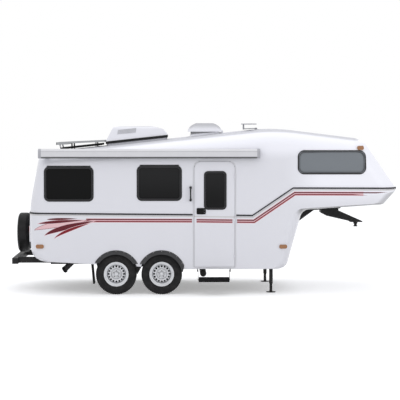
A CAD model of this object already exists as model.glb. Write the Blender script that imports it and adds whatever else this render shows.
"""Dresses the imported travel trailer: a finish for every solid, road tyres, wheel and window fittings,
seals, trim, roof fittings, lamp bezels, and the pale studio it stands in."""

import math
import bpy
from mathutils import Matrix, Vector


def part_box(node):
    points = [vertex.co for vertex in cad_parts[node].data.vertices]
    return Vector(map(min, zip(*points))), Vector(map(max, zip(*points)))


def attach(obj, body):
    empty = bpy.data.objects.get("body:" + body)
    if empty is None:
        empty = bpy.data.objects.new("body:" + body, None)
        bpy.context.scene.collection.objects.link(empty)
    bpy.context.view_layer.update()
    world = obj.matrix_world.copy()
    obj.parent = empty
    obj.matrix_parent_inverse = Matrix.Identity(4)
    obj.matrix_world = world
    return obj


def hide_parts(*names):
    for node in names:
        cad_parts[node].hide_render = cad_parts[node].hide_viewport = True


bl_info = {
    "name": "Travel Trailer Dresser",
    "version": (1, 0, 0),
    "blender": (4, 5, 0),
    "location": "View3D > Sidebar > Trailer",
    "description": "Finishes, tyres, trim, roof fittings and studio for the travel trailer",
    "category": "Object",
}

import bmesh
import bpy
from mathutils import Matrix, Vector
from mathutils.bvhtree import BVHTree

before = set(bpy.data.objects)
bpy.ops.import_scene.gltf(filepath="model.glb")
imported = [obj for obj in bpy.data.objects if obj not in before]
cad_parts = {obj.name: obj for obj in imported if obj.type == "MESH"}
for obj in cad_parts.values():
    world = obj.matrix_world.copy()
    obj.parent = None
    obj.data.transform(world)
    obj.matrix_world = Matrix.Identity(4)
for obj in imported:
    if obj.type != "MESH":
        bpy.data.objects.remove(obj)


def middle(node):
    """Middle of a node's box."""
    low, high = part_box(node)
    return (low + high) / 2


# Places. Unless a comment says metres, sizes are millimetres of the drawing, whose origin is found from the
# rear curb-side tyre and the shell.
REAR_AXLE, FRONT_AXLE = -1031.0, -262.0
WHEEL_Y, WHEEL_Z, WALL_Y = 982.5, 344.5, 1120.0
ORIGIN = Vector((middle("tyre_rear_curb").x - REAR_AXLE / 1000, middle("upper_shell").y, 0))
WHEELS = {"rear_curb": (REAR_AXLE, -1), "rear_street": (REAR_AXLE, 1),
          "front_curb": (FRONT_AXLE, -1), "front_street": (FRONT_AXLE, 1)}
SIDES = ((-1, "curb"), (1, "street"))
SHELL = ("lower_shell", "upper_shell", "door_leaf")
UP, DOWN = Vector((0, 0, 1)), Vector((0, 0, -1))
# belt line where the two halves of the shell meet, and the roof's middle line: x, z in metres
BELT = [(-3.0, 1.386), (0.291, 1.356), (1.268, 1.341), (1.953, 1.804), (4.5, 1.795)]
ROOF_REAR, ROOF_CROWN, ROOF_NOSE = (-2.345, 2.377), (1.65, 2.806), (3.2, 2.614)
# how far the gutter rails lie below that line, and the door's rear and front edge
GUTTER_DROP = 168
DOOR_EDGES = (288, 970)
# windows on both sides, and the door's: x low, x high, z low, z high, corner radius
SIDE_WINDOWS = {
    "rear": (-2236, -1402, 1578, 2168, 88),
    "middle": (-679, 81, 1588, 2184, 88),
    "loft": (2029, 3183, 2034, 2441, 110),
}
DOOR_WINDOW = (450, 832, 1439, 2092, 72)
# side stripe in metres: its ends, the edge outside its lines, the gap at the door;
# then a line's share of its width
STRIPE_START, STRIPE_NOSE, STRIPE_EDGE, STRIPE_GAP, LINE_SHARE = -1.53, 3.56, 0.009, 0.038, 0.37
# ribbons at the rear of each side: x of the tip, length, z, rise, width, colour, rim colour
RIBBONS = [
    (-2410, 960, 1090, 176, 96, "stripe_pale", "stripe_red"),
    (-2350, 860, 1200, 70, 60, "stripe_dark", "stripe_pale"),
    (-2240, 900, 990, 270, 96, "stripe_dark", "stripe_pale"),
    (-2080, 660, 930, 296, 62, "stripe_red", "stripe_pale"),
    (-2190, 520, 1278, 14, 34, "stripe_dark", "stripe_dark"),
]
RIBBON_REAR = -2.42
# shade line below the belt, and how far out the walls start, in metres; tones of roof, overhang and line
BELT_SHADE, WALL_START = (0.018, 0.040), 0.80
ROOF_TONE, UNDER_TONE, SHADE_TONE = (0.60, 0.60, 0.635), (0.34, 0.34, 0.35), (0.60, 0.59, 0.59)
# tyre section: radius and place across, from the bead over the side to the middle of the tread, and within
TYRE_SIDE = [(192, -72.6), (205, -77.3), (213, -78.5), (226, -90), (240, -98), (256, -102.3), (274, -102.4),
             (292, -101), (308, -98.5), (320, -95.5), (330, -91.5), (335.5, -86)]
TYRE_TREAD = [(336, -80), (336, -36), (343.8, -34.5), (344.5, -28), (344.5, -16), (343.8, -12.5), (336, -11),
              (336, -7), (344.2, -5.5), (344.5, 0)]
TYRE_INSIDE = [(322, 60), (290, 72), (224, 66), (200, 60)]
CAP_SECTION = [(1, -70), (16, -69.5), (27, -67), (33, -61), (35, -52), (35.5, -20), (37, -14), (39.5, -11),
               (40, -6), (38, -4), (34.5, -4), (34.5, -50), (26, -63.5), (1, -64)]
# rubber web between the wheels and the thick mud flap: outline in x and z, reach in y
SPLASH_RUBBER = [
    ([(-722, 520), (-716, 470), (-688, 430), (-678, 352), (-668, 352), (-604, 470), (-596, 520)],
     (1078, 1090)),
    ([(-1452, 516), (-1424, 516), (-1394, 187), (-1408, 183), (-1422, 187)], (866, 1088)),
]
# lamps of the studio in metres and watts: name, place, aim, width, height, power
LAMPS = [
    ("key_lamp", (-5.0, -9.0, 8.5), (0.0, 0.0, 1.2), 7.0, 5.0, 110),
    ("fill_lamp", (8.5, -7.5, 4.5), (3.2, -0.8, 2.1), 6.0, 4.0, 92),
    ("top_lamp", (0.0, 1.0, 9.5), (0.0, 0.0, 1.0), 9.0, 6.0, 135),
    ("back_lamp", (2.0, 9.0, 6.0), (0.0, 0.0, 1.2), 8.0, 5.0, 60),
]
DUST = (0.36, 0.33, 0.30)


def at(x, y, z):
    """Row-frame point in metres from millimetres of the drawing."""
    return Vector((x / 1000, y / 1000, z / 1000)) + ORIGIN


def straight(first, second, x):
    """Height at x of the line through two points; x may be a value of a shader tree."""
    slope = (second[1] - first[1]) / (second[0] - first[0])
    return x * slope + (first[1] - slope * first[0])


# Settings
def colour_setting(title, note, value):
    return bpy.props.FloatVectorProperty(name=title, description=note, subtype="COLOR", size=3, default=value)


def length_setting(title, note, value):
    return bpy.props.FloatProperty(name=title, description=note, default=value, unit="LENGTH")


def angle_setting(title, note, degrees):
    return bpy.props.FloatProperty(name=title, description=note, subtype="ANGLE",
                                   default=math.radians(degrees))


class TrailerColours(bpy.types.PropertyGroup):
    """Colours of the trailer's main finishes."""

    wall: colour_setting("Wall", "Moulded shell", (0.735, 0.735, 0.775))
    roof: colour_setting("Roof", "Top of the shell", (0.90, 0.90, 0.95))
    stripe_dark: colour_setting("Stripe, dark", "Upper line of the side stripe", (0.110, 0.004, 0.012))
    stripe_red: colour_setting("Stripe, red", "Lower line of the side stripe", (0.195, 0.005, 0.013))
    stripe_pale: colour_setting("Stripe, pale", "Band between the lines", (0.760, 0.500, 0.525))
    awning: colour_setting("Awning case", "Painted aluminium", (0.66, 0.655, 0.675))
    wheel: colour_setting("Wheel", "Painted wheel", (0.68, 0.69, 0.71))
    lamp: colour_setting("Side lamp", "Amber lens", (0.36, 0.17, 0.075))


class TrailerSizes(bpy.types.PropertyGroup):
    """Sizes of the fittings that the scene adds, and the camera's turn."""

    tread_blocks: bpy.props.IntProperty(
        name="Tread blocks", description="Shoulder blocks round each tyre", default=58, min=20, max=120
    )
    nut_width: length_setting("Nut width", "Wheel nut across its corners", 0.023)
    louvre_pitch: length_setting("Louvre pitch", "Distance between air conditioner louvres", 0.016)
    stud_pitch: length_setting("Stud pitch", "Distance between grip studs on the step", 0.026)
    stripe_top: length_setting("Stripe top", "Stripe's upper edge under the belt", 0.070)
    stripe_width: length_setting("Stripe width", "Both lines and the band between", 0.054)
    camera_yaw: angle_setting("Camera yaw", "Turn to the right", 0.9726)
    camera_pitch: angle_setting("Camera pitch", "Turn downwards", 3.2507)


def colours():
    return bpy.context.scene.trailer_colours


def sizes():
    return bpy.context.scene.trailer_sizes


# Shader helpers
def put(tree, node, socket, value):
    """Sets a socket, or links it where the value comes from the tree."""
    target = node.inputs[socket]
    value = value.socket if isinstance(value, Value) else value
    if isinstance(value, bpy.types.NodeSocket):
        tree.links.new(value, target)
    elif target.type == "RGBA" and len(value) == 3:
        target.default_value = (*value, 1)
    else:
        target.default_value = value


def add_node(tree, kind, **values):
    """New node with the named sockets set or linked; an underscore stands for a space."""
    made = tree.nodes.new(kind)
    for key, value in values.items():
        put(tree, made, key.replace("_", " "), value)
    return made


class Value:
    """A number of a shader tree; reckoning with it adds math nodes."""

    def __init__(self, tree, socket):
        self.tree, self.socket = tree, socket

    def math(self, operation, *values):
        made = self.tree.nodes.new("ShaderNodeMath")
        made.operation = operation
        for index, value in enumerate(values):
            put(self.tree, made, index, value)
        return Value(self.tree, made.outputs[0])

    def __add__(self, other):
        return self.math("ADD", self, other)

    def __sub__(self, other):
        return self.math("SUBTRACT", self, other)

    def __rsub__(self, other):
        return self.math("SUBTRACT", other, self)

    def __mul__(self, other):
        return self.math("MULTIPLY", self, other)

    def __truediv__(self, other):
        return self.math("DIVIDE", self, other)

    def __pow__(self, other):
        return self.math("POWER", self, other)

    def __gt__(self, other):
        return self.math("GREATER_THAN", self, other)

    def __lt__(self, other):
        return self.math("LESS_THAN", self, other)

    def __abs__(self):
        return self.math("ABSOLUTE", self)

    __radd__, __rmul__ = __add__, __mul__

    def most(self, other):
        return self.math("MAXIMUM", self, other)

    def least(self, other):
        return self.math("MINIMUM", self, other)

    def sine(self):
        return self.math("SINE", self)

    def fraction(self):
        return self.math("FRACT", self)

    def between(self, low, high):
        """One inside a range, otherwise nought."""
        return (self > low) * (self < high)

    def ramp(self, low, high, to_low=0.0, to_high=1.0, smooth=True):
        """Carries a range over to another, and stays at its ends beyond it."""
        made = self.tree.nodes.new("ShaderNodeMapRange")
        made.interpolation_type = "SMOOTHSTEP" if smooth else "LINEAR"
        for index, value in enumerate((self, low, high, to_low, to_high)):
            put(self.tree, made, index, value)
        return Value(self.tree, made.outputs[0])


def blend(tree, factor, first, second):
    """Colour between two others."""
    made = tree.nodes.new("ShaderNodeMix")
    made.data_type = "RGBA"
    for index, value in ((0, factor), (6, first), (7, second)):
        put(tree, made, index, value)
    return made.outputs[2]


def noise(tree, point, scale, detail=3.0, roughness=0.55):
    made = add_node(tree, "ShaderNodeTexNoise", Vector=point, Scale=scale, Detail=detail, Roughness=roughness)
    return Value(tree, made.outputs["Fac"])


def split(tree, vector):
    """The x, y and z of a vector."""
    made = add_node(tree, "ShaderNodeSeparateXYZ", Vector=vector)
    return [Value(tree, socket) for socket in made.outputs]


def group(name, inputs, build):
    """New shader node group; build makes its numbers by name from the tree and the inputs."""
    tree = bpy.data.node_groups.new(name, "ShaderNodeTree")
    for title, default in inputs.items():
        kind = "NodeSocketVector" if default is None else "NodeSocketFloat"
        socket = tree.interface.new_socket(title, in_out="INPUT", socket_type=kind)
        if default is not None:
            socket.default_value = default
    given = tree.nodes.new("NodeGroupInput")
    results = build(tree, {title: Value(tree, given.outputs[title]) for title in inputs})
    for title in results:
        tree.interface.new_socket(title, in_out="OUTPUT", socket_type="NodeSocketFloat")
    add_node(tree, "NodeGroupOutput", **results)


def use(tree, name, **values):
    """Sets a shader group into a tree and gives its outputs by name."""
    made = tree.nodes.new("ShaderNodeGroup")
    made.node_tree = bpy.data.node_groups[name]
    for key, value in values.items():
        put(tree, made, key, value)
    return {socket.name: Value(tree, socket) for socket in made.outputs}


def road_film(tree, given):
    """Dust that lies low on the sides, broken up by noise."""
    low = split(tree, given["Point"])[2].ramp(0.0, given["Height"], 1.0, 0.0)
    return {"Mask": low * noise(tree, given["Point"], 3.2, 5.0, 0.62).ramp(0.32, 0.72) * given["Strength"]}


def skin(tree, given):
    """Unevenness of a surface at two scales, for colour, gloss and bump."""
    cloud = noise(tree, given["Point"], given["Coarse"], 4.0)
    grain = noise(tree, given["Point"], given["Fine"], 2.0)
    return {"Cloud": cloud, "Grain": grain, "Height": cloud * 0.35 + grain * 0.65}


def ribbon(tree, given):
    """Mask and rim of one ribbon that climbs, levels out and tapers to points."""
    share = (given["X"] - given["Start"]) / given["Length"]
    clipped = share.most(0.0).least(1.0)
    centre = given["Level"] + given["Rise"] * clipped ** 0.62
    half = given["Width"] * 0.5 * (clipped ** 0.7 * math.pi).sine().most(0.0)
    apart = abs(given["Z"] - centre)
    mask = (apart < half) * share.between(0.0, 1.0)
    return {"Mask": mask, "Rim": mask * (apart > half - 0.0065)}


class Paint:
    """A material under way: its tree, shader and object axes, and the tone laid on so far."""

    def __init__(self, name, coarse=0.0, fine=0.0, metallic=0.0, coat=0.0, coat_roughness=0.05, ior=1.5,
                 specular=0.5):
        self.material = bpy.data.materials.new(name)
        self.material.use_nodes = True
        self.tree = self.material.node_tree
        self.tree.nodes.clear()
        out = self.tree.nodes.new("ShaderNodeOutputMaterial")
        self.shader = self.tree.nodes.new("ShaderNodeBsdfPrincipled")
        self.tree.links.new(self.shader.outputs[0], out.inputs[0])
        for title, value in (("Metallic", metallic), ("Coat Weight", coat),
                             ("Coat Roughness", coat_roughness), ("IOR", ior),
                             ("Specular IOR Level", specular)):
            self.shader.inputs[title].default_value = value
        self.point = self.tree.nodes.new("ShaderNodeTexCoord").outputs["Object"]
        self.x, self.y, self.z = split(self.tree, self.point)
        if fine:
            made = use(self.tree, "Skin", Point=self.point, Coarse=coarse, Fine=fine)
            self.cloud, self.grain, self.height = made["Cloud"], made["Grain"], made["Height"]

    def drawing_axes(self):
        """Place in metres of the drawing."""
        return self.x - ORIGIN.x, self.y - ORIGIN.y, self.z

    def facing(self, axis=2):
        """How far the surface looks along an axis of the piece's own frame, from -1 to 1."""
        return split(self.tree, self.tree.nodes.new("ShaderNodeTexCoord").outputs["Normal"])[axis]

    def noise(self, scale, detail=3.0, roughness=0.55, stretch=None):
        point = self.point
        if stretch:
            point = add_node(self.tree, "ShaderNodeMapping", Vector=point, Scale=stretch).outputs[0]
        return noise(self.tree, point, scale, detail, roughness)

    def base(self, mask, first, second):
        """Starts the tone as a mixture of two colours."""
        self.tone = blend(self.tree, mask, first, second)

    def mottle(self, first, second, low=0.3):
        """Starts the tone as two colours in clouds."""
        self.base(self.cloud.ramp(low, 0.7), first, second)

    def lay(self, mask, colour):
        """Lays a colour over the tone where the mask is one."""
        self.tone = blend(self.tree, mask, self.tone, colour)

    def dust(self, height, strength):
        mask = use(self.tree, "Road film", Point=self.point, Height=height, Strength=strength)["Mask"]
        self.lay(mask, DUST)

    def gloss(self, low, high):
        """Roughness that varies with the grain."""
        return self.grain.ramp(0.3, 0.7, low, high)

    def finish(self, rough, height, strength, distance):
        """Gives the shader its tone, roughness and relief."""
        put(self.tree, self.shader, "Base Color", self.tone)
        put(self.tree, self.shader, "Roughness", rough)
        relief = add_node(self.tree, "ShaderNodeBump", Strength=strength, Distance=distance, Height=height)
        self.tree.links.new(relief.outputs[0], self.shader.inputs["Normal"])
        return self.material


def scaled(colour, factor):
    return tuple(min(1.0, c * factor) for c in colour)


def surface(name, colour, rough, fine=260.0, coarse=4.0, vary=0.05, relief=0.12, depth=0.0004, dust=0.0,
            dust_height=0.9, **shader_values):
    """Everyday finish: colour broken up by clouds, low dust, uneven gloss and a fine relief."""
    paint = Paint(name, coarse, fine, **shader_values)
    paint.mottle(scaled(colour, 1 - vary), scaled(colour, 1 + vary))
    if dust:
        paint.dust(dust_height, dust)
    return paint.finish(paint.gloss(rough * 0.88, min(1, rough * 1.12)), paint.height, relief, depth)


# Special finishes
def below_belt(x, z):
    """Distance below the belt line, which steps up behind the loft, in metres."""
    lines = []
    for first, second in zip(BELT, BELT[1:]):
        slope = (second[1] - first[1]) / (second[0] - first[0])
        lines.append((straight(first, second, x) - z) / math.hypot(1, slope))
    return lines[0].least(lines[1]).most(lines[2]).least(lines[3])


def moulded_shell(name, on_door=False):
    """White gel-coated shell with the belt's shade line, the side stripe and the rear ribbons."""
    paint = Paint(name, 1.3, 420.0, coat=0.10, coat_roughness=0.08, specular=0.25)
    x, y, z = paint.drawing_axes()
    paint.mottle(colours().wall, scaled(colours().wall, 1.008))
    paint.lay(z.ramp(2.25, 2.5).most(x.ramp(1.75, 2.5)) * z.ramp(1.45, 1.9), colours().roof)
    # the flat of the roof carries a greyer, duller coat, and the underside of the overhang lies in shade
    upward = paint.facing()
    sky = upward.ramp(0.90, 0.985)
    paint.lay(sky, ROOF_TONE)
    paint.lay(upward.ramp(-0.25, -0.75) * x.ramp(1.85, 2.1), UNDER_TONE)
    side = (y * paint.facing(1) > 0.0) * (abs(y) > WALL_START)
    drop = below_belt(x, z)
    paint.lay(side * drop.between(*BELT_SHADE), SHADE_TONE)
    # the stripe lies a little lower towards the rear, stops at the door's edges and thins out on the nose
    drop = drop - x.ramp(-2.0, 2.2, 0.016, -0.004, smooth=False)
    rear, front = (edge / 1000 for edge in DOOR_EDGES)
    if on_door:
        painted = side * x.between(rear + STRIPE_GAP, front - STRIPE_GAP)
    else:
        painted = side * (1.0 - x.between(rear - STRIPE_GAP, front + STRIPE_GAP) * (y < 0.0))
    painted = painted * (x > STRIPE_START)
    top, width = sizes().stripe_top, sizes().stripe_width
    foot, line = top + width, LINE_SHARE * width
    lower_end = x.ramp(STRIPE_NOSE - 0.60, STRIPE_NOSE - 0.34, 0.0, line, smooth=False)
    upper_end = x.ramp(STRIPE_NOSE - 0.20, STRIPE_NOSE, 0.0, line, smooth=False)
    band = painted * drop.between(top - STRIPE_EDGE, foot + STRIPE_EDGE)
    paint.lay(band * (x < STRIPE_NOSE - 0.42), colours().stripe_pale)
    paint.lay(painted * drop.between(foot - line + lower_end, foot), colours().stripe_red)
    paint.lay(painted * drop.between(top, top + line - upper_end), colours().stripe_dark)
    if not on_door:
        ribbon_side = side * (x > RIBBON_REAR)
        for *values, fill, rim in RIBBONS:
            start, length, level, rise, thick = (value / 1000 for value in values)
            blade = use(paint.tree, "Ribbon", X=x, Z=z, Start=start, Length=length, Level=level,
                        Rise=rise, Width=thick)
            for mask, colour in (("Mask", fill), ("Rim", rim)):
                paint.lay(ribbon_side * blade[mask], getattr(colours(), colour))
    paint.dust(0.8, 0.035)
    put(paint.tree, paint.shader, "Coat Weight", sky * -0.10 + 0.10)
    return paint.finish(sky * 0.5 + paint.gloss(0.27, 0.31), paint.grain, 0.04, 0.0003)


def tinted_glass():
    """Dark glass, a little lighter to the front; the loft's panes read grey, seen through sideways."""
    paint = Paint("Tinted glass", ior=1.33, specular=0.16)
    x, _, z = paint.drawing_axes()
    height = z.ramp(1.55, 2.1)
    rear = blend(paint.tree, height, (0.0045, 0.0045, 0.0045), (0.0060, 0.0060, 0.0060))
    front = blend(paint.tree, height, (0.0100, 0.0100, 0.0102), (0.0190, 0.0190, 0.0195))
    paint.base(x.ramp(-1.2, -0.6), rear, front)
    loft_strip = z.between(2.060, 2.410) * x.between(1.6, 3.160)
    paint.lay(loft_strip, (0.205, 0.222, 0.238))
    return paint.finish(paint.noise(1.6).ramp(0.3, 0.7, 0.035, 0.07), paint.noise(2.2, 1.0), 0.03, 0.002)


def awning_paint():
    """Painted aluminium with extrusion lines along its length and a dark lower rail."""
    paint = Paint("Awning paint", coat=0.25, coat_roughness=0.1)
    low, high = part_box("awning_case")
    share = (paint.z - low.z) / (high.z - low.z)
    paint.base(paint.noise(5.0).ramp(0.3, 0.7), scaled(colours().awning, 0.97), colours().awning)
    for start, end, colour in ((0.0, 0.15, (0.062, 0.062, 0.065)), (0.145, 0.165, (0.38, 0.38, 0.40)),
                               (0.70, 0.712, (0.50, 0.50, 0.53))):
        paint.lay(share.between(start, end), colour)
    streaks = paint.noise(3.0, 2.0, 0.5, stretch=(0.6, 60.0, 60.0))
    return paint.finish(streaks.ramp(0.3, 0.7, 0.30, 0.42), streaks, 0.06, 0.0004)


def solar_cells():
    """Dark cells in a grid with fine silver lines under glass, in a pale rim."""
    paint = Paint("Solar cells", specular=0.10)
    low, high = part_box("solar_panel")
    cell, margin, rim = 0.0795, 0.018, 0.014
    rules = [((value - (start + margin)) / cell).fraction() < 0.045
             for value, start in ((paint.x, low.x), (paint.y, low.y))]
    fingers = (paint.x / 0.0066).fraction() < 0.16
    cells = blend(paint.tree, fingers * 0.45, (0.010, 0.014, 0.040), (0.16, 0.17, 0.20))
    cells = blend(paint.tree, rules[0].most(rules[1]), cells, (0.30, 0.31, 0.33))
    inside = paint.x.between(low.x + rim, high.x - rim) * paint.y.between(low.y + rim, high.y - rim)
    paint.base(inside, (0.62, 0.62, 0.64), cells)
    return paint.finish(paint.noise(30.0).ramp(0.3, 0.7, 0.30, 0.42), paint.noise(120.0), 0.04, 0.0003)


def sunned_plastic(name, colour, upper, start=0.72):
    """White moulding that has dulled where it looks up."""
    paint = Paint(name, 2.5, 420.0, specular=0.25)
    paint.mottle(colour, scaled(colour, 0.985))
    sky = paint.facing().ramp(start, 0.97)
    paint.lay(sky, upper)
    return paint.finish(sky * 0.35 + paint.gloss(0.36, 0.42), paint.height, 0.1, 0.0003)


def frame_paint():
    """Dark window frames; the inner half of the loft frames takes the pane's grey."""
    paint = Paint("Window frame plastic", 5.0, 520.0, specular=0.22)
    x, _, z = paint.drawing_axes()
    paint.mottle((0.024, 0.0245, 0.025), (0.029, 0.0295, 0.030))
    x0, x1, z0, z1 = (value / 1000 for value in SIDE_WINDOWS["loft"][:4])
    inset = 0.024
    paint.lay(x.between(x0 + inset, x1 - inset) * z.between(z0 + inset, z1 - inset), (0.150, 0.160, 0.172))
    return paint.finish(paint.gloss(0.40, 0.50), paint.height, 0.2, 0.0003)


def cooler_pan():
    """Black pan of the air conditioner, in the roof's tone where it meets the gasket."""
    paint = Paint("Cooler pan", 5.0, 520.0, specular=0.22)
    x, _, z = paint.drawing_axes()
    paint.mottle((0.008, 0.008, 0.0085), (0.013, 0.013, 0.0135))
    paint.lay(z - straight(ROOF_REAR, ROOF_CROWN, x) < 0.0375, (0.60, 0.60, 0.63))
    return paint.finish(paint.gloss(0.42, 0.52), paint.height, 0.2, 0.0004)


def mount_paint():
    """Black rails near the roof, pale grey struts above them."""
    paint = Paint("Solar mount paint", 6.0, 700.0, specular=0.22)
    x, _, z = paint.drawing_axes()
    rail = (z - straight(ROOF_REAR, ROOF_CROWN, x)).between(0.038, 0.064)
    paint.base(rail.most(x.between(-1.86, -1.80)), (0.74, 0.74, 0.75), (0.010, 0.010, 0.0105))
    paint.lay(paint.cloud * 0.12, (0.20, 0.20, 0.20))
    return paint.finish(paint.gloss(0.42, 0.56), paint.height, 0.2, 0.0004)


def tyre_rubber():
    """Black rubber with moulded ribs round the sidewall, browner on the tread."""
    paint = Paint("Tyre rubber", 9.0, 380.0, specular=0.22)
    place = paint.tree.nodes.new("ShaderNodeAttribute")
    place.attribute_name = "tyre_place"
    turn, radius, _ = split(paint.tree, place.outputs["Vector"])
    ribs = (radius * (2 * math.pi / 0.0052)).sine()
    serration = (turn * 300.0).sine() * radius.between(0.235, 0.300)
    paint.mottle((0.011, 0.011, 0.0115), (0.022, 0.021, 0.021), low=0.35)
    paint.lay(radius.ramp(0.325, 0.343) * 0.5, (0.040, 0.038, 0.036))
    return paint.finish(paint.gloss(0.62, 0.82), ribs * 0.25 + serration * 0.4 + paint.height, 0.35, 0.0012)


def ribbed_lens(name, colour, pitch=0.006):
    """Coloured lens with a grid of ribs inside."""
    paint = Paint(name, coat=0.25, coat_roughness=0.05, specular=0.3)
    ribs = [abs((value * (math.pi / pitch)).sine()) for value in (paint.x + paint.y, paint.z)]
    both = ribs[0] * ribs[1]
    paint.base(both, scaled(colour, 0.72), scaled(colour, 1.22))
    return paint.finish(paint.noise(60.0).ramp(0.3, 0.7, 0.16, 0.26), both, 0.35, 0.0012)


def checker_steel(name, colour):
    """Powder-coated steel with the small raised bars of step plate."""
    paint = Paint(name, 12.0, 600.0, specular=0.12)
    paint.mottle(colour, scaled(colour, 1.9), low=0.35)
    bars = ((paint.x + paint.y) * 180.0).sine() * ((paint.x - paint.y) * 180.0).sine()
    return paint.finish(paint.gloss(0.48, 0.7), bars * 0.6 + paint.height, 0.35, 0.001)


def spare_plastic():
    """Black moulded spare cover with a fine weave grain and soft unevenness."""
    paint = Paint("Spare cover plastic", coat=0.06, coat_roughness=0.3, specular=0.2)
    weave = (paint.y * 2600.0).sine() * (paint.z * 2600.0).sine()
    folds = paint.noise(7.0, 3.0, 0.5)
    paint.base(folds.ramp(0.3, 0.7), (0.0045, 0.0045, 0.005), (0.014, 0.014, 0.015))
    return paint.finish(folds.ramp(0.3, 0.7, 0.42, 0.6), folds + weave * 0.03, 0.45, 0.006)


def wood_panel():
    """Sealed plywood under the floor."""
    paint = Paint("Floor ply")
    grain = paint.noise(14.0, 6.0, 0.6, stretch=(1.0, 9.0, 9.0))
    paint.base(grain.ramp(0.35, 0.65), (0.030, 0.026, 0.022), (0.075, 0.062, 0.05))
    return paint.finish(grain.ramp(0.3, 0.7, 0.6, 0.8), grain, 0.3, 0.0008)


MADE = {}
# everyday finishes: title, colour, roughness, and what differs from the usual surface
SURFACES = {
    "black_plastic": ("Black plastic", (0.010, 0.010, 0.0105), 0.42,
                      dict(specular=0.22, fine=520.0, vary=0.15, relief=0.2, dust=0.10)),
    "seal": ("Black seal rubber", (0.036, 0.034, 0.038), 0.62,
            dict(specular=0.22, fine=700.0, vary=0.12, relief=0.25)),
    "white_trim": ("White trim paint", (0.66, 0.66, 0.69), 0.34, dict(fine=300.0, vary=0.02, coat=0.2)),
    "brace": ("Brace paint", (0.011, 0.011, 0.0115), 0.5,
              dict(specular=0.25, fine=900.0, coarse=6.0, vary=0.25, relief=0.3, depth=0.0003)),
    "rim": ("Solar rim", (0.40, 0.41, 0.41), 0.5, dict(specular=0.3, fine=500.0)),
    "grey_plastic": ("Grey plastic", (0.40, 0.40, 0.43), 0.5, dict(fine=480.0, vary=0.04, relief=0.2)),
    "screen": ("Fly screen", (0.36, 0.36, 0.37), 0.6, dict(specular=0.2, fine=1500.0, vary=0.25, relief=0.4)),
    "slot_dark": ("Hatch slots", (0.075, 0.075, 0.08), 0.6, dict(specular=0.2, fine=300.0, vary=0.1)),
    "hatch_seal": ("Hatch seal", (0.20, 0.20, 0.21), 0.6, dict(specular=0.2, fine=300.0, vary=0.1)),
    "gasket": ("Cooler gasket", (0.52, 0.52, 0.55), 0.7, dict(specular=0.2, fine=700.0, vary=0.06)),
    "shade": ("Wheel shade", (0.006, 0.006, 0.006), 0.7, dict(specular=0.1, fine=300.0, vary=0.1)),
    "web": ("Splash web rubber", (0.008, 0.008, 0.008), 0.6,
           dict(specular=0.15, fine=500.0, vary=0.15, relief=0.3)),
    "black_metal": ("Black powder coat", (0.012, 0.012, 0.0125), 0.5,
                    dict(specular=0.22, fine=900.0, coarse=6.0, vary=0.25, relief=0.3, depth=0.0003,
                         dust=0.12, dust_height=0.75)),
    "aluminium": ("Bare aluminium", (0.52, 0.53, 0.55), 0.36, dict(fine=500.0, vary=0.06, metallic=0.9)),
    "forged": ("Cast steel", (0.11, 0.105, 0.10), 0.52,
               dict(fine=240.0, coarse=16.0, vary=0.3, relief=0.4, metallic=0.8, dust=0.25)),
    "spring": ("Spring steel paint", (0.014, 0.0135, 0.013), 0.6,
              dict(fine=300.0, vary=0.3, relief=0.4, dust=0.3)),
    "flare": ("Flare plastic", (0.044, 0.044, 0.046), 0.55,
              dict(specular=0.22, fine=650.0, vary=0.12, relief=0.35, dust=0.12)),
    "mud_rubber": ("Flap rubber", (0.016, 0.016, 0.016), 0.7,
                   dict(specular=0.22, fine=300.0, vary=0.25, relief=0.4, dust=0.3)),
    "lock": ("Lock plastic", (0.006, 0.006, 0.006), 0.5,
            dict(specular=0.14, fine=500.0, vary=0.12, relief=0.15)),
    "key": ("Lock barrel", (0.09, 0.09, 0.092), 0.35, dict(specular=0.3, fine=500.0, vary=0.08, relief=0.05)),
    "zinc": ("Zinc plate", (0.42, 0.42, 0.41), 0.38, dict(fine=340.0, coarse=22.0, vary=0.16, metallic=0.85)),
    "sealant": ("Roof sealant", (0.58, 0.58, 0.59), 0.6,
               dict(fine=120.0, vary=0.08, relief=0.5, depth=0.001)),
    "shadow_line": ("Grey edge trim", (0.30, 0.30, 0.32), 0.45, dict(fine=400.0, vary=0.06)),
    "chrome": ("Bright metal", (0.70, 0.70, 0.71), 0.14,
              dict(fine=500.0, vary=0.04, metallic=1.0, relief=0.04)),
    "slot_black": ("Louvre shade", (0.46, 0.46, 0.48), 0.7, dict(fine=400.0, vary=0.1)),
    "louvre": ("Louvre plastic", (0.66, 0.66, 0.69), 0.42, dict(fine=420.0, vary=0.04, relief=0.15)),
    "pale_bow": ("Handle bow", (0.56, 0.56, 0.60), 0.35, dict(fine=420.0, vary=0.04)),
}
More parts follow.
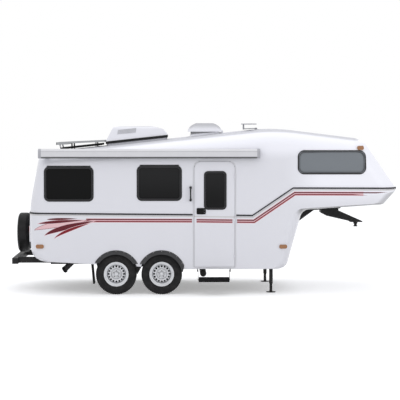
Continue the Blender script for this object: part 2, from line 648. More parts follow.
# finish of each solid
FINISHES = {
    "shell": ["lower_shell", "upper_shell"],
    "door": ["door_leaf"],
    "floor": ["floor_panel"],
    "glass": ["window_panes", "door_pane"],
    "black_plastic": ["wheel_wells", "grab_handle", "waste_tank", "waste_pipes"],
    "lock": ["door_lock"],
    "frame_plastic": ["window_frames", "door_window_frame"],
    "pan": ["air_conditioner_pan"],
    "brace": ["gooseneck_brace", "pin_box"],
    "seal": ["belt_trim"],
    "white_trim": ["door_frame", "awning_brackets"],
    "awning": ["awning_case"],
    "grey_plastic": ["awning_end_caps", "antenna_base", "antenna_head"],
    "white_plastic": ["air_conditioner_cover", "vent_curb", "street_hatches"],
    "dome_plastic": ["vent_lid"],
    "solar": ["solar_panel"],
    "black_metal": ["frame_rails", "frame_cross_members", "landing_legs", "spring_hangers", "axles",
                    "spare_carrier", "bumper", "step_bracket"],
    "rail": ["solar_mount"],
    "aluminium": ["antenna_arm"],
    "forged": ["hub_" + key for key in WHEELS],
    "spring": ["leaf_springs"],
    "flare": ["wheel_flares"],
    "mud_rubber": ["mud_flaps"],
    "spare": ["spare_wheel"],
    "zinc": ["step_outer_link", "step_inner_link"],
    "step": ["step_tread"],
    "amber": ["marker_lamps"],
    "red": ["tail_lamps"],
    "wheel": ["wheel_" + key for key in WHEELS],
    "tyre": ["tyre_" + key for key in WHEELS],
}


def make_finishes():
    """Every shader group and material, kept by the name of its finish."""
    group("Road film", {"Point": None, "Height": 0.6, "Strength": 0.3}, road_film)
    group("Skin", {"Point": None, "Coarse": 4.0, "Fine": 260.0}, skin)
    group("Ribbon", {"X": 0.0, "Z": 0.0, "Start": 0.0, "Length": 1.0, "Level": 1.0, "Rise": 0.1,
                     "Width": 0.03}, ribbon)
    for key, (title, colour, rough, values) in SURFACES.items():
        MADE[key] = surface(title, colour, rough, **values)
    MADE.update({
        "shell": moulded_shell("Moulded shell"),
        "door": moulded_shell("Door skin", on_door=True),
        "glass": tinted_glass(),
        "awning": awning_paint(),
        "frame_plastic": frame_paint(),
        "pan": cooler_pan(),
        "rail": mount_paint(),
        "white_plastic": sunned_plastic("White plastic", (0.86, 0.86, 0.90), (0.58, 0.58, 0.61)),
        "dome_plastic": sunned_plastic("Vent dome", (0.84, 0.84, 0.88), (0.46, 0.46, 0.48), 0.30),
        "solar": solar_cells(),
        "spare": spare_plastic(),
        "amber": ribbed_lens("Amber lens", colours().lamp),
        "red": ribbed_lens("Red lens", (0.34, 0.004, 0.005)),
        "tyre": tyre_rubber(),
        "wheel": surface("Wheel silver", colours().wheel, 0.34, fine=650.0, coarse=7.0, relief=0.1,
                         metallic=0.25, coat=0.35, dust=0.10),
        "step": checker_steel("Step plate", (0.005, 0.005, 0.0055)),
        "floor": wood_panel(),
    })


# Mesh helpers
def from_bmesh(shape, name, smooth=True, sharp=40):
    """Mesh of a finished shape, with its normals outwards and its edges sharp beyond an angle in degrees."""
    bmesh.ops.remove_doubles(shape, verts=shape.verts, dist=1e-6)
    bmesh.ops.recalc_face_normals(shape, faces=shape.faces)
    mesh = bpy.data.meshes.new(name)
    for face in shape.faces:
        face.smooth = smooth
    for edge in shape.edges:
        if len(edge.link_faces) == 2 and edge.calc_face_angle(0) > math.radians(sharp):
            edge.smooth = False
    shape.to_mesh(mesh)
    shape.free()
    return mesh


def add_object(name, data):
    """New object in the scene."""
    made = bpy.data.objects.new(name, data)
    bpy.context.scene.collection.objects.link(made)
    return made


def piece(name, mesh, finish, body, smooth=True, sharp=40):
    """Puts a finished mesh or shape into the scene, on its body, with its finish."""
    if isinstance(mesh, bmesh.types.BMesh):
        mesh = from_bmesh(mesh, name, smooth, sharp)
    made = add_object(name, mesh)
    mesh.materials.clear()
    mesh.materials.append(MADE[finish])
    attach(made, body)
    return made


def add_rings(shape, rings, around=False, back=True):
    """Skins closed rings of points, joined around or closed at their ends; without back the first is open."""
    rows = [[shape.verts.new(point) for point in ring] for ring in rings]
    count = len(rows[0])
    pairs = list(zip(rows, rows[1:])) + ([(rows[-1], rows[0])] if around else [])
    faces = [shape.faces.new((first[i], first[(i + 1) % count], second[(i + 1) % count], second[i]))
             for first, second in pairs for i in range(count)]
    if not around:
        faces.append(shape.faces.new(rows[-1]))
        if back:
            faces.append(shape.faces.new(rows[0][::-1]))
    bmesh.ops.recalc_face_normals(shape, faces=faces)


def circle(radius, count, along=0.0, axis=1, centre=Vector()):
    """Points round an axis, at a place along it."""
    points = []
    for index in range(count):
        turn = 2 * math.pi * index / count
        flat = [radius * math.cos(turn), radius * math.sin(turn)]
        flat.insert(axis, along)
        points.append(centre + Vector(flat))
    return points


def add_bar(shape, points, radius, sides=10, closed=False):
    """Round bar along a row of points, in metres."""
    count, rings, side = len(points), [], None
    for index, point in enumerate(points):
        before = points[index - 1] if index or closed else point
        after = points[(index + 1) % count] if index + 1 < count or closed else point
        along = (after - before).normalized()
        side = side or along.orthogonal().normalized()
        side = (side - along * side.dot(along)).normalized()
        other = along.cross(side)
        turns = [2 * math.pi * step / sides for step in range(sides)]
        rings.append([point + side * radius * math.cos(turn) + other * radius * math.sin(turn)
                      for turn in turns])
    add_rings(shape, rings, around=closed)


def add_beam(shape, start, end, half, down, up):
    """Straight bar of square section between two points, from down to up of the line, in metres."""
    along = (end - start).normalized()
    side = Vector((-along.y, along.x, 0.0)).normalized() * half
    corners = ((-1, down), (1, down), (1, up), (-1, up))
    add_rings(shape, [[spot + side * sign + UP * height for sign, height in corners]
                      for spot in (start, end)])


def add_curtain(shape, feet, heads, thick):
    """Closed upright wall that follows a ring of feet up to their heads."""
    centre = sum(feet, Vector()) / len(feet)
    rings = []
    for row, inset in ((feet, 0.0), (heads, 0.0), (heads, thick), (feet, thick)):
        rings.append([spot + Vector((centre.x - spot.x, centre.y - spot.y, 0.0)).normalized() * inset
                      for spot in row])
    add_rings(shape, rings, around=True)


def add_block(shape, low, high, bevel=0.0):
    """Box between two corners in metres with softened edges."""
    low, high = Vector(low), Vector(high)
    place = Matrix.Translation((low + high) / 2) @ Matrix.Diagonal((*(high - low), 1.0))
    made = bmesh.ops.create_cube(shape, size=1.0, matrix=place)["verts"]
    if bevel:
        edges = {edge for vertex in made for edge in vertex.link_edges}
        bmesh.ops.bevel(shape, geom=list(edges), offset=bevel, segments=2, affect="EDGES", profile=0.5)


def rounded_outline(x0, x1, z0, z1, radius, inset=0.0, steps=8):
    """Points round a rounded rectangle, set in from it where asked."""
    x0, x1, z0, z1, radius = x0 + inset, x1 - inset, z0 + inset, z1 - inset, radius - inset
    points = []
    for cx, cz, start in ((x1 - radius, z1 - radius, 0), (x0 + radius, z1 - radius, 90),
                          (x0 + radius, z0 + radius, 180), (x1 - radius, z0 + radius, 270)):
        for index in range(steps + 1):
            angle = math.radians(start + 90 * index / steps)
            points.append((cx + radius * math.cos(angle), cz + radius * math.sin(angle)))
    return points


def surface_of(*names):
    """Some CAD nodes as one surface to lay trim on."""
    verts, faces = [], []
    for name in names:
        mesh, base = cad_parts[name].data, len(verts)
        mesh.calc_loop_triangles()
        verts += [v.co.copy() for v in mesh.vertices]
        faces += [[base + i for i in t.vertices] for t in mesh.loop_triangles]
    return BVHTree.FromPolygons(verts, faces)


def touch(tree, start, way, reach, out=0.0):
    """Where a ray meets a surface, lifted off it by a distance, or None."""
    hit, normal, _, _ = tree.ray_cast(start, way, reach)
    if hit is None:
        return None
    return hit + normal * (out if normal.dot(way) < 0 else -out)


def wall_point(tree, x, z, side, out=0.0):
    """Point on the outside of the side wall at x and z in millimetres."""
    spot = touch(tree, at(x, side * 1500, z), Vector((0, -side, 0)), 1.0, out)
    return at(x, side * (WALL_Y + out * 1000), z) if spot is None else spot


def roof_point(tree, x, y, out=0.0):
    """Point on top of the shell at x and y in millimetres."""
    return touch(tree, at(x, y, 4000), DOWN, 4.0, out)


def solid_boxes(name):
    """Lowest and highest corners of the separate solids in a node."""
    shape = bmesh.new()
    shape.from_mesh(bpy.data.objects[name].data)
    bmesh.ops.remove_doubles(shape, verts=shape.verts, dist=1e-5)
    boxes, seen = [], set()
    for start in shape.verts:
        if start in seen:
            continue
        seen.add(start)
        found, todo = [], [start]
        while todo:
            vertex = todo.pop()
            found.append(vertex.co.copy())
            for edge in vertex.link_edges:
                other = edge.other_vert(vertex)
                if other not in seen:
                    seen.add(other)
                    todo.append(other)
        boxes.append([Vector([pick(p[i] for p in found) for i in range(3)]) for pick in (min, max)])
    shape.free()
    return boxes


# Geometry node helpers
def geometry_group(name, inputs, build):
    """Geometry tree that copies a shape; build sets the copies, which become real and take their material."""
    tree = bpy.data.node_groups.new(name, "GeometryNodeTree")
    given = [("Geometry", "Geometry", None), ("Shape", "Object", None), *inputs,
             ("Material", "Material", None)]
    for title, kind, default in given:
        socket = tree.interface.new_socket(title, in_out="INPUT", socket_type="NodeSocket" + kind)
        if default is not None:
            socket.default_value = default
    tree.interface.new_socket("Geometry", in_out="OUTPUT", socket_type="NodeSocketGeometry")
    given = tree.nodes.new("NodeGroupInput").outputs
    shape = add_node(tree, "GeometryNodeObjectInfo", Object=given["Shape"]).outputs["Geometry"]
    real = add_node(tree, "GeometryNodeRealizeInstances", Geometry=build(tree, given, shape).outputs[0])
    done = add_node(tree, "GeometryNodeSetMaterial", Geometry=real.outputs[0], Material=given["Material"])
    add_node(tree, "NodeGroupOutput", Geometry=done.outputs[0])


def copies_on_points(tree, given, shape):
    """Copies on each point of the given mesh, turned by the point's own turn attribute."""
    turn = tree.nodes.new("GeometryNodeInputNamedAttribute")
    turn.data_type = "FLOAT_VECTOR"
    turn.inputs["Name"].default_value = "turn"
    points = add_node(tree, "GeometryNodeMeshToPoints", Mesh=given["Geometry"])
    return add_node(tree, "GeometryNodeInstanceOnPoints", Points=points.outputs[0], Instance=shape,
                    Rotation=turn.outputs["Attribute"], Scale=given["Scale"])


def copies_round_wheel(tree, given, shape):
    """Copies round a circle in the upright plane, for nuts and tread blocks."""
    ring = add_node(tree, "GeometryNodeMeshCircle", Vertices=given["Count"], Radius=given["Radius"])
    points = add_node(tree, "GeometryNodeMeshToPoints", Mesh=ring.outputs[0])
    index = Value(tree, tree.nodes.new("GeometryNodeInputIndex").outputs[0])
    angle = index / given["Count"] * (2 * math.pi)
    turn = add_node(tree, "ShaderNodeCombineXYZ", Z=angle)
    placed = add_node(tree, "GeometryNodeInstanceOnPoints", Points=points.outputs[0], Instance=shape,
                      Rotation=turn.outputs[0])
    first = add_node(tree, "ShaderNodeCombineXYZ", Z=given["First turn"])
    spun = add_node(tree, "GeometryNodeTransform", Geometry=placed.outputs[0], Rotation=first.outputs[0])
    return add_node(tree, "GeometryNodeTransform", Geometry=spun.outputs[0], Rotation=(math.pi / 2, 0, 0))


def copies_along_line(tree, given, shape):
    """Copies at an even pitch along the given line."""
    curve = add_node(tree, "GeometryNodeMeshToCurve", Mesh=given["Geometry"])
    points = tree.nodes.new("GeometryNodeCurveToPoints")
    points.mode = "LENGTH"
    tree.links.new(curve.outputs[0], points.inputs["Curve"])
    tree.links.new(given["Pitch"], points.inputs["Length"])
    return add_node(tree, "GeometryNodeInstanceOnPoints", Points=points.outputs["Points"], Instance=shape)


def seed_mesh(points, turns=None, line=False):
    """Points or a line for a geometry tree to work on."""
    mesh = bpy.data.meshes.new("seed")
    edges = [(i, i + 1) for i in range(len(points) - 1)] if line else []
    mesh.from_pydata([tuple(p) for p in points], edges, [])
    if turns is not None:
        attribute = mesh.attributes.new("turn", "FLOAT_VECTOR", "POINT")
        attribute.data.foreach_set("vector", [c for turn in turns for c in turn])
    return mesh


def grow(tree_name, shape, seed, values, name, finish, body, move=None):
    """Runs a geometry tree once on copies of a mesh, keeps its result as a plain mesh, and places it."""
    tree = bpy.data.node_groups[tree_name]
    copied = add_object(name + "_shape", shape)
    carrier = add_object(name + "_seed", seed or seed_mesh([]))
    modifier = carrier.modifiers.new("Copies", "NODES")
    modifier.node_group = tree
    values = {"Shape": copied, "Material": MADE[finish], **values}
    for item in tree.interface.items_tree:
        if item.in_out == "INPUT" and item.name in values:
            modifier[item.identifier] = values[item.name]
    bpy.context.view_layer.update()
    mesh = bpy.data.meshes.new_from_object(carrier.evaluated_get(bpy.context.evaluated_depsgraph_get()))
    carrier.modifiers.clear()
    bpy.data.objects.remove(carrier)
    bpy.data.objects.remove(copied)
    mesh.name = name
    if move is not None:
        mesh.transform(move)
    return piece(name, mesh, finish, body)


# Operators
class FinishOperator(bpy.types.Operator):
    """Makes every finish and gives each solid its own."""

    bl_idname = "trailer.finishes"
    bl_label = "Finishes"

    def execute(self, context):
        make_finishes()
        geometry_group("Copies on points", [("Scale", "Float", 1.0)], copies_on_points)
        geometry_group("Copies round a wheel", [("Count", "Int", 5), ("Radius", "Float", 0.057),
                                                ("First turn", "Float", 0.0)], copies_round_wheel)
        geometry_group("Copies along a line", [("Pitch", "Float", 0.05)], copies_along_line)
        for finish, names in FINISHES.items():
            for name in names:
                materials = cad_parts[name].data.materials
                if not len(materials):
                    materials.append(None)
                for index in range(len(materials)):
                    materials[index] = MADE[finish]
        return {"FINISHED"}


def mark_place(made, centre):
    """Records each point's turn, radius and place across on a tyre's piece, for the rubber's ribs."""
    values = []
    for vertex in made.data.vertices:
        off = vertex.co - centre
        values += [math.atan2(off.z, off.x), math.hypot(off.x, off.z), off.y]
    attribute = made.data.attributes.new("tyre_place", "FLOAT_VECTOR", "POINT")
    attribute.data.foreach_set("vector", values)


class TyreOperator(bpy.types.Operator):
    """Road tyres with grooved tread, shoulder blocks and moulded sidewalls."""

    bl_idname = "trailer.tyres"
    bl_label = "Tyres"

    def execute(self, context):
        shoulder = bmesh.new()
        base, top, edge, half = 0.3300, 0.3440, 0.3375, 0.0125
        outline = ((base, 0.042), (base, 0.090), (edge, 0.0915), (top, 0.080), (top, 0.042))
        add_rings(shoulder, [[(radius, tangent, across) for radius, across in outline]
                             for tangent in (-half, half)])
        block = from_bmesh(shoulder, "shoulder_block", smooth=False)
        rows = TYRE_SIDE + TYRE_TREAD
        rows += [(r, -a) for r, a in reversed(rows[:-1])] + TYRE_INSIDE
        rows += [(r, -a) for r, a in reversed(TYRE_INSIDE)]
        for key, (x, side) in WHEELS.items():
            centre = at(x, side * WHEEL_Y, WHEEL_Z)
            shape = bmesh.new()
            add_rings(shape, [circle(r / 1000, 112, a / 1000, centre=centre) for r, a in rows], around=True)
            tyre = piece("road_tyre_" + key, shape, "tyre", "wheel_" + key, sharp=50)
            mark_place(tyre, centre)
            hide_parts("tyre_" + key)
            for row, turn in (("outer", 0.0), ("inner", math.pi)):
                move = Matrix.Translation(centre) @ Matrix.Rotation(turn, 4, "Z")
                values = {"Count": sizes().tread_blocks, "Radius": 0.0, "First turn": 0.02 * turn}
                made = grow("Copies round a wheel", block, None, values, f"tread_blocks_{row}_{key}", "tyre",
                            "wheel_" + key, move)
                mark_place(made, centre)
        return {"FINISHED"}


class WheelOperator(bpy.types.Operator):
    """Wheel nuts, centre caps, the shade behind the hand holes, and valves."""

    bl_idname = "trailer.wheel_fittings"
    bl_label = "Wheel fittings"

    def execute(self, context):
        nut, half = bmesh.new(), sizes().nut_width / 2
        section = ((1.25, 0.0), (1.25, 0.003), (1.0, 0.004), (1.0, 0.017), (0.8, 0.020), (0.45, 0.0215))
        add_rings(nut, [circle(half * share, 6, across, axis=2) for share, across in section])
        nut = from_bmesh(nut, "nut_shape", smooth=False)
        for key, (x, side) in WHEELS.items():
            centre, body, inwards = at(x, side * WHEEL_Y, WHEEL_Z), "wheel_" + key, Vector((0, -side, 0))
            place = Matrix.Translation(centre) @ Matrix.Rotation(0.0 if side < 0 else math.pi, 4, "Z")
            values = {"Count": 5, "Radius": 0.05715, "First turn": math.pi / 2}
            grow("Copies round a wheel", nut, None, values, "wheel_nuts_" + key, "chrome", body,
                 place)
            cap = bmesh.new()
            add_rings(cap, [circle(r / 1000, 48, -side * a / 1000, centre=centre) for r, a in CAP_SECTION],
                      around=True)
            piece("centre_cap_" + key, cap, "wheel", body)
            disc, depths = surface_of(body), []
            for radius in (0.108, 0.129, 0.150):
                spot = Vector((radius * math.cos(math.pi / 16), side * 0.3, radius * math.sin(math.pi / 16)))
                hit = touch(disc, centre + spot, inwards, 0.5)
                if hit is not None:
                    depths.append(side * (hit.y - centre.y))
            shade = bmesh.new()
            section = ((0.106, 0.012), (0.152, 0.012), (0.152, 0.014), (0.106, 0.014))
            add_rings(shade, [circle(radius, 64, side * (min(depths) - behind), centre=centre)
                              for radius, behind in section], around=True)
            piece("brake_shade_" + key, shade, "shade", body)
            valve = bmesh.new()
            stem = ((0.158, 0.012), (0.154, 0.032), (0.146, 0.054))
            add_bar(valve, [centre + Vector((reach, side * out, 0)) for reach, out in stem], 0.0042)
            piece("valve_" + key, valve, "black_plastic", body)
        return {"FINISHED"}


class WindowOperator(bpy.types.Operator):
    """Rubber beads round every side pane, and drip caps over the lower windows."""

    bl_idname = "trailer.window_fittings"
    bl_label = "Window fittings"

    def execute(self, context):
        panes, walls = surface_of("window_frames", "window_panes"), surface_of(*SHELL)
        for side, label in SIDES:
            beads, caps = bmesh.new(), bmesh.new()
            for key, (x0, x1, z0, z1, radius) in SIDE_WINDOWS.items():
                for inset, thick in ((36, 0.0034), (12, 0.0022)):
                    ring = rounded_outline(x0, x1, z0, z1, radius, inset)
                    add_bar(beads, [wall_point(panes, x, z, side, 0.0015) for x, z in ring], thick,
                            sides=6, closed=True)
                if key == "loft":
                    continue
                # drip cap over the frame, shorter than it
                reach, mid = (x1 - x0) / 2 - radius * 0.62, (x0 + x1) / 2
                section = [(mid - reach, 13), (mid + reach, 13), (mid + reach + 7, -3), (mid - reach - 7, -3)]
                ends = (mid - reach, mid + reach)
                out = max(side * wall_point(walls, x, z1 + 20, side).y for x in ends) + 0.006
                add_rings(caps, [[Vector((at(x, 0, 0).x, side * out - back, (z1 + z) / 1000))
                                  for x, z in section] for back in (0.0, side * 0.02)])
            piece("window_beads_" + label, beads, "seal", "root")
            piece("window_caps_" + label, caps, "black_plastic", "root", smooth=False)
        return {"FINISHED"}


class DoorOperator(bpy.types.Operator):
    """Entry door: window bead, paddle latch, keys, edge seal, and the grab handle's bow."""

    bl_idname = "trailer.door_fittings"
    bl_label = "Door fittings"

    def execute(self, context):
        faces = surface_of("door_leaf", "door_window_frame", "door_pane", "door_lock")
        bead = bmesh.new()
        for inset, thick in ((30, 0.0032), (8, 0.0020)):
            ring = rounded_outline(*DOOR_WINDOW, inset)
            add_bar(bead, [wall_point(faces, x, z, -1, 0.001) for x, z in ring], thick, sides=6, closed=True)
        piece("door_bead", bead, "seal", "door")
        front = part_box("door_lock")[0].y
        paddle, keys = bmesh.new(), bmesh.new()
        low, high = at(345, 0, 1384), at(428, 0, 1448)
        add_block(paddle, (low.x, front - 0.006, low.z), (high.x, front + 0.004, high.z), 0.003)
        piece("door_paddle", paddle, "lock", "door")
        section = [(0.0008, -0.004), (0.0085, -0.0036), (0.0098, -0.002), (0.0100, 0.004), (0.0008, 0.004)]
        for z in (1395, 1437):
            centre = Vector((at(457, 0, z).x, front, z / 1000))
            add_rings(keys, [circle(radius, 24, across, centre=centre) for radius, across in section],
                      around=True)
        piece("door_keys", keys, "key", "door")
        # dark seal in the gap round the door
        gap, face = bmesh.new(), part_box("door_leaf")[0].y + 0.0205
        ring = rounded_outline(DOOR_EDGES[0] + 4, DOOR_EDGES[1] - 4, 478, 2246, 60)
        add_bar(gap, [Vector((at(x, 0, z).x, face, z / 1000)) for x, z in ring], 0.0032, sides=6, closed=True)
        piece("door_seal", gap, "seal", "door")
        # handle bow: pale front over the black grip
        low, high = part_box("grab_handle")
        bow, row = bmesh.new(), []
        for i in range(15):
            bend = math.sin(math.pi * i / 14)
            row.append(Vector(((low.x + high.x) / 2 - 0.021 + 0.010 * (1 - bend),
                               low.y + 0.030 - 0.026 * bend,
                               low.z + 0.030 + (high.z - low.z - 0.060) * i / 14)))
        add_bar(bow, row, 0.0055, sides=12)
        piece("handle_bow", bow, "pale_bow", "root")
        return {"FINISHED"}


def screw_head(section, count, back):
    """Small round head that looks to the curb side: rows of radius and height."""
    shape = bmesh.new()
    add_rings(shape, [circle(radius, count, -out) for radius, out in section], back=back)
    return from_bmesh(shape, "screw_head")


class AwningOperator(bpy.types.Operator):
    """Awning case lips and end screws."""

    bl_idname = "trailer.awning_fittings"
    bl_label = "Awning fittings"

    def execute(self, context):
        low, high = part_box("awning_case")
        lip = bmesh.new()
        for out, foot, head, bevel in ((0.0035, 0.0225, 0.0275, 0.001), (0.0015, 0.1130, 0.1165, 0.0008)):
            add_block(lip, (low.x + 0.002, low.y - out, low.z + foot),
                      (high.x - 0.002, low.y + 0.004, low.z + head), bevel)
        piece("awning_lips", lip, "shadow_line", "root")
        head = screw_head(((0.0065, 0.0), (0.0065, 0.0008), (0.0045, 0.0026), (0.0012, 0.0032)), 10, True)
        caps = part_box("awning_end_caps")
        points = [Vector((x, low.y - 0.0002, low.z + height)) for x in (caps[0].x + 0.025, caps[1].x - 0.025)
                  for height in (0.048, 0.108)]
        grow("Copies on points", head, seed_mesh(points, [(0, 0, 0)] * len(points)), {"Scale": 1.0},
             "awning_screws", "zinc", "root")
        return {"FINISHED"}


class RoofOperator(bpy.types.Operator):
    """Roof fittings: air conditioner louvres and gasket, fly screen, solar rim and flanges, sealant."""

    bl_idname = "trailer.roof_fittings"
    bl_label = "Roof fittings"

    def execute(self, context):
        cover, pan = surface_of("air_conditioner_cover"), surface_of("air_conditioner_pan")
        shell = surface_of(*SHELL)
        lean_share = 0.10
        slat = bmesh.new()
        add_block(slat, (-0.158, -0.004, -0.0048), (0.158, 0.004, 0.0048), 0.0016)
        for vertex in slat.verts:
            vertex.co.z += vertex.co.x * lean_share
        slat = from_bmesh(slat, "louvre_slat", smooth=False)
        low, high = at(-1050, 0, 2716), at(-722, 0, 2796)
        mid = (low.x + high.x) / 2
        for side, label in SIDES:
            foot, head = (Vector((mid, side * 2.0, height)) for height in (low.z, high.z))
            for end in (foot, head):
                end.y = touch(cover, end.copy(), Vector((0, -side, 0)), 3.0).y + side * 0.001
            corners = ((foot, low.x), (foot, high.x), (head, high.x + 0.012), (head, low.x + 0.012))
            recess = bmesh.new()
            add_rings(recess, [[Vector((x, end.y + side * out, end.z + (x - mid) * lean_share))
                                for end, x in corners] for out in (0.0012, -0.003)])
            piece("air_conditioner_grille_back_" + label, recess, "slot_black", "root",
                  smooth=False)
            lean = (head - foot).normalized()
            line = seed_mesh([foot + lean * 0.006, head - lean * 0.004 + Vector((0.010, 0, 0))], line=True)
            grow("Copies along a line", slat, line, {"Pitch": sizes().louvre_pitch},
                 "air_conditioner_louvres_" + label, "louvre", "root")
        # gasket that closes the gap between the cooler's pan and the roof
        curtain = bmesh.new()
        feet = [roof_point(shell, x, y, -0.004) for x, y in rounded_outline(-1226, -176, -337, 337, 60)]
        heads = []
        for foot in feet:
            hit = touch(pan, foot + UP * 0.008, UP, 0.3)
            heads.append(foot + UP * 0.045 if hit is None else hit + UP * 0.002)
        add_curtain(curtain, feet, heads, 0.012)
        piece("air_conditioner_gasket", curtain, "gasket", "root")
        # fly screen that stands on the vent's curb, inside the lid
        screen = bmesh.new()
        feet = [roof_point(shell, x, y) for x, y in rounded_outline(239, 731, -246, 246, 30)]
        add_curtain(screen, [foot + UP * 0.030 for foot in feet],
                    [Vector((foot.x, foot.y, 2.764)) for foot in feet], 0.006)
        piece("vent_fly_screen", screen, "screen", "root")
        # frame of the solar panel, deeper at its rear end, and the flanges under its rails
        rim, flanges = bmesh.new(), bmesh.new()
        rear, front, top = 2537, 2576, 0.0262
        step = rear + 214 * (front - rear) / (2094 - 1248)
        for y in (-334, 334):
            add_beam(rim, at(-2096, y, rear), at(-1880, y, step), 0.006, -0.018, top)
            add_beam(rim, at(-1880, y, step), at(-1247, y, front), 0.006, -0.003, top)
        add_beam(rim, at(-2092, -340, rear), at(-2092, 340, rear), 0.006, -0.018, top)
        add_beam(rim, at(-1252, -340, front), at(-1252, 340, front), 0.004, -0.003, top)
        piece("solar_frame_rim", rim, "rim", "root", smooth=False)
        for y in (-262, 262):
            add_beam(flanges, roof_point(shell, -2004, y), roof_point(shell, -1300, y), 0.022, 0.018, 0.046)
        piece("solar_rail_flanges", flanges, "web", "root", smooth=False)
        # sealant round what is let into the roof: the vent, the antenna and the feet of the solar mount
        beads = bmesh.new()
        outlines = [(rounded_outline(x0 - 12, x1 + 12, -half - 12, half + 12, 20), 0.007, 8)
                    for x0, x1, half in ((285, 685, 200), (1340, 1452, 60))]
        outlines += [(rounded_outline(x - 34, x + 34, y - 26, y + 26, 14, steps=4), 0.004, 6)
                     for y in (-262, 262) for x in (-2045, -1830, -1415)]
        for ring, thick, sides in outlines:
            add_bar(beads, [roof_point(shell, x, y, 0.001) for x, y in ring], thick, sides=sides, closed=True)
        piece("roof_sealant", beads, "sealant", "root")
        return {"FINISHED"}


class TrimOperator(bpy.types.Operator):
    """Street-side gutter rails and hatches, splash webs and flaps, the waste cap, and flare screws."""

    bl_idname = "trailer.side_trim"
    bl_label = "Side trim"

    def execute(self, context):
        shell, rail = surface_of(*SHELL), bmesh.new()
        for start, end, count in ((1460, 3030, 60), (-2330, 1460, 90)):
            row = []
            for x in (start + (end - start) * i / (count - 1) for i in range(count)):
                ends = (ROOF_CROWN, ROOF_NOSE) if x > ROOF_CROWN[0] * 1000 else (ROOF_REAR, ROOF_CROWN)
                row.append(wall_point(shell, x, straight(*ends, x / 1000) * 1000 - GUTTER_DROP, 1, 0.001))
            add_bar(rail, row, 0.006, sides=6)
        piece("gutter_rails", rail, "shadow_line", "root")
        webs = bmesh.new()
        for outline, reach in SPLASH_RUBBER:
            for side, _ in SIDES:
                add_rings(webs, [[at(x, side * y, z) for x, z in outline] for y in reach])
        piece("splash_webs", webs, "web", "root", smooth=False)
        # round cap on the waste outlet
        pipe = [v.co for v in bpy.data.objects["waste_pipes"].data.vertices if v.co.x < ORIGIN.x - 1.7]
        lean = Vector((-0.80, 0.0, -0.60))
        far = max(p.dot(lean) for p in pipe)
        mouth = [p for p in pipe if p.dot(lean) > far - 0.02]
        centre, cap = sum(mouth, Vector()) / len(mouth), bmesh.new()
        for start, end, radius in ((-0.030, 0.006, 0.056), (0.004, 0.016, 0.048), (0.014, 0.022, 0.030)):
            add_bar(cap, [centre + lean * start, centre + lean * end], radius, sides=32)
        piece("waste_outlet_cap", cap, "web", "root")
        self.add_hatches()
        self.add_flare_screws()
        return {"FINISHED"}

    def add_hatches(self):
        """Bead round every hatch, louvres on those that air goes through, latches on the others."""
        beads, latches = bmesh.new(), bmesh.new()
        for low, high in solid_boxes("street_hatches"):
            wide, mid = high.x - low.x, (low.x + high.x) / 2
            ring = rounded_outline(low.x * 1000, high.x * 1000, low.z * 1000, high.z * 1000, 38, 14)
            add_bar(beads, [Vector((x / 1000, high.y, z / 1000)) for x, z in ring], 0.0040,
                    sides=6, closed=True)
            if low.z > 1.5 or high.z - low.z > 0.45:
                slat = bmesh.new()
                add_block(slat, (-0.5, -0.007, -0.005), (0.5, 0.002, 0.005), 0.0015)
                slat = from_bmesh(slat, "hatch_slat", smooth=False)
                slat.transform(Matrix.Diagonal((wide - 0.07, 1.0, 1.0, 1.0)))
                ends = [Vector((mid, high.y, height)) for height in (low.z + 0.05, high.z - 0.04)]
                line = seed_mesh(ends, line=True)
                name = f"hatch_louvres_{round(low.x * 10)}_{round(low.z * 10)}".replace("-", "m")
                grow("Copies along a line", slat, line, {"Pitch": 0.034}, name,
                     "slot_dark", "root")
            else:
                for x in (low.x + wide * 0.22, high.x - wide * 0.22):
                    add_block(latches, (x - 0.018, high.y - 0.002, high.z - 0.034),
                              (x + 0.018, high.y + 0.006, high.z - 0.018), 0.003)
        piece("hatch_beads", beads, "hatch_seal", "root")
        piece("hatch_latches", latches, "chrome", "root", smooth=False)

    def add_flare_screws(self):
        """Small screws round the flares."""
        flare, radius = surface_of("wheel_flares"), 397
        head = screw_head(((0.0055, -0.001), (0.0055, 0.0008), (0.0036, 0.0024), (0.001, 0.0028)), 8, False)
        points, turns = [], []
        for side, _ in SIDES:
            for axle, angles in ((REAR_AXLE, range(30, 171, 20)), (FRONT_AXLE, range(10, 151, 20))):
                for angle in map(math.radians, angles):
                    start = at(axle + radius * math.cos(angle), side * 1500,
                               WHEEL_Z + radius * math.sin(angle))
                    hit = touch(flare, start, Vector((0, -side, 0)), 0.6)
                    if hit is not None:
                        points.append(hit)
                        turns.append((0, 0, 0 if side < 0 else math.pi))
        grow("Copies on points", head, seed_mesh(points, turns), {"Scale": 1.0}, "flare_screws",
             "zinc", "root")


class StepOperator(bpy.types.Operator):
    """Grip studs on the step tread."""

    bl_idname = "trailer.step_fittings"
    bl_label = "Step fittings"

    def execute(self, context):
        low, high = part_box("step_tread")
        tread, stud = surface_of("step_tread"), bmesh.new()
        section = ((0.006, 0.0), (0.005, 0.0016), (0.002, 0.0018))
        add_rings(stud, [circle(radius, 8, out, axis=2) for radius, out in section], back=False)
        points, pitch = [], sizes().stud_pitch
        for i in range(int((high.x - low.x - 0.08) / pitch) + 1):
            for j in range(int((high.y - low.y - 0.06) / pitch) + 1):
                x = low.x + 0.04 + i * pitch + (pitch / 2 if j % 2 else 0)
                hit = touch(tread, Vector((x, low.y + 0.03 + j * pitch, high.z + 0.1)), DOWN, 0.11)
                if hit is not None and x < high.x - 0.03 and hit.z > high.z - 0.01:
                    points.append(hit)
        grow("Copies on points", from_bmesh(stud, "grip_stud"), seed_mesh(points, [(0, 0, 0)] * len(points)),
             {"Scale": 1.0}, "step_grip_studs", "step", "step_tread")
        return {"FINISHED"}


